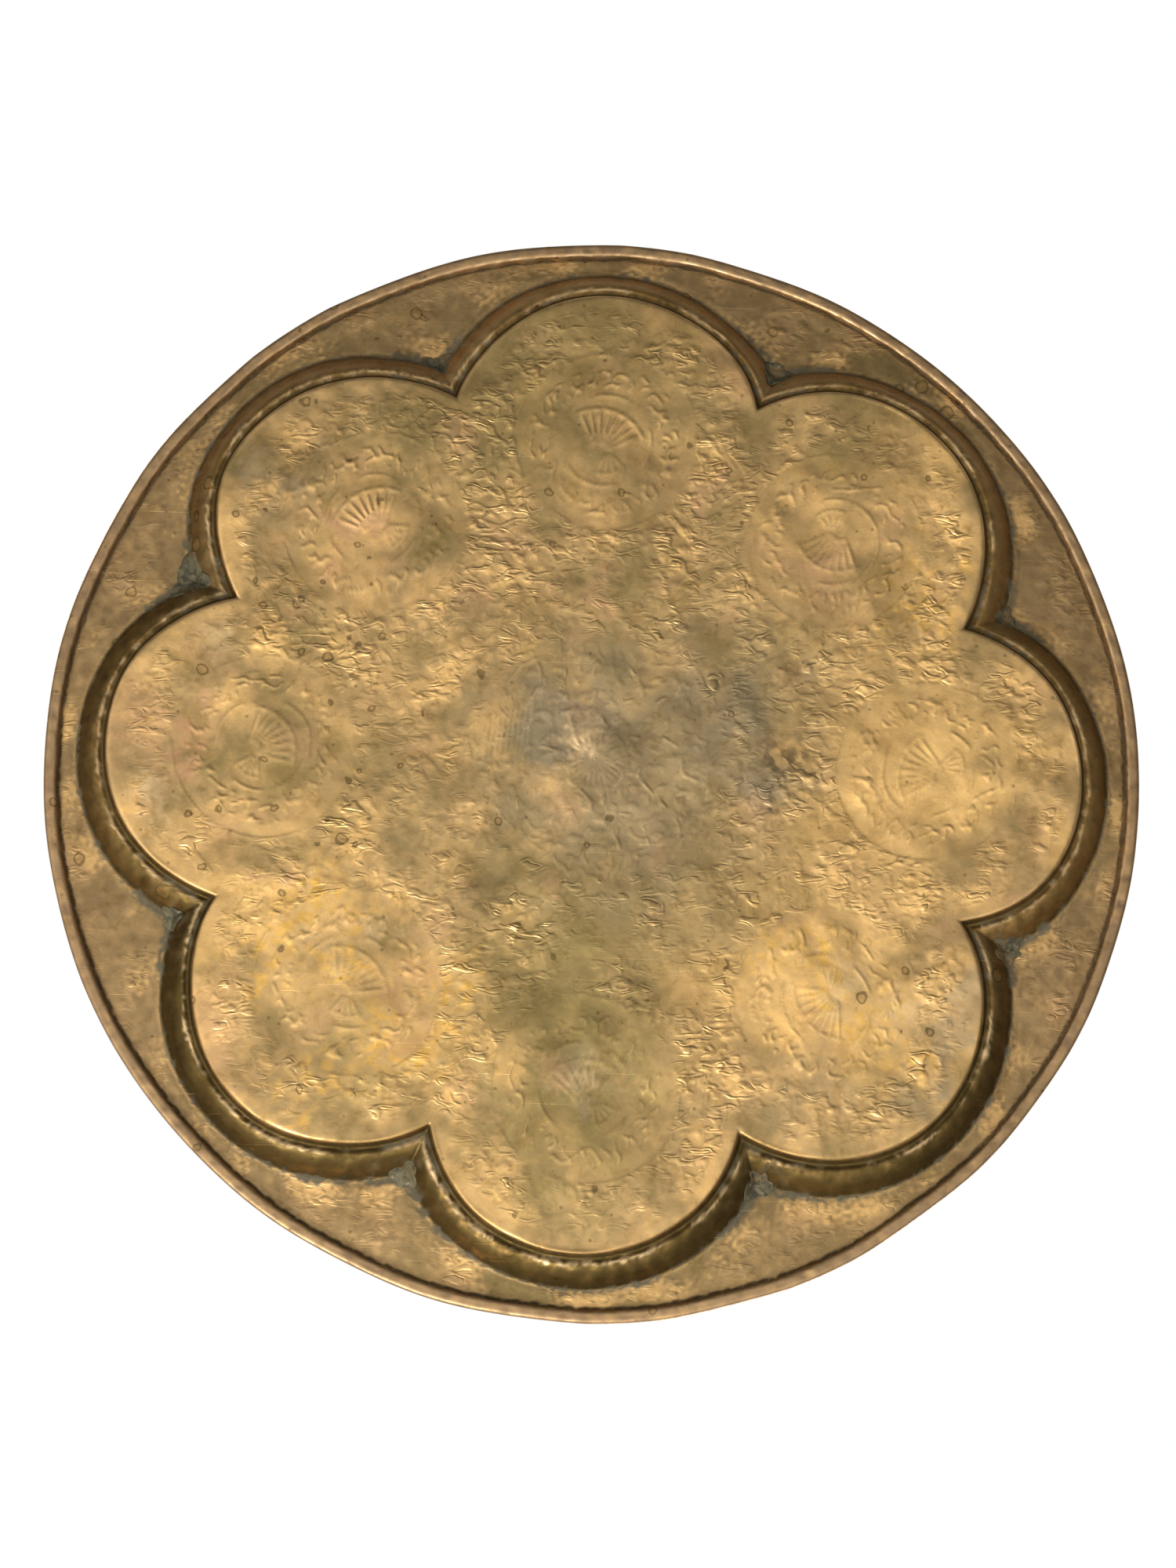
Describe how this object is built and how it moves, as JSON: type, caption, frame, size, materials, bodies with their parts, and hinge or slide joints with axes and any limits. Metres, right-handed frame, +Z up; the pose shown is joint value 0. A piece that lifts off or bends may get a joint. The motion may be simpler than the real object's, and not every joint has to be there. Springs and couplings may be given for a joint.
{
  "type": "lobed brass serving tray",
  "caption": "Round brass tray with a shallow lobed well, a moulded well edge, a level flange and a rim rolled over a wire.",
  "frame": {"origin": "centre of the flat underside that the tray stands on", "axes": "+Z up, out of the open well; one lobe of the well points along +X and one along +Y"},
  "size_m": [0.38, 0.38, 0.0155],
  "materials": {
    "brass_sheet": "aged brass, olive and brown patina, chased relief, worn bright on the edges",
    "wire": "drawn iron wire, dull and dark",
    "solder": "soft solder, dull grey and pitted"
  },
  "bodies": {
    "root": {"tray_pan": "brass_sheet", "rim_wire": "wire", "cusp_solder_1": "solder", "cusp_solder_2": "solder", "cusp_solder_3": "solder", "cusp_solder_4": "solder", "cusp_solder_5": "solder", "cusp_solder_6": "solder", "cusp_solder_7": "solder", "cusp_solder_8": "solder"}
  },
  "joints": []
}
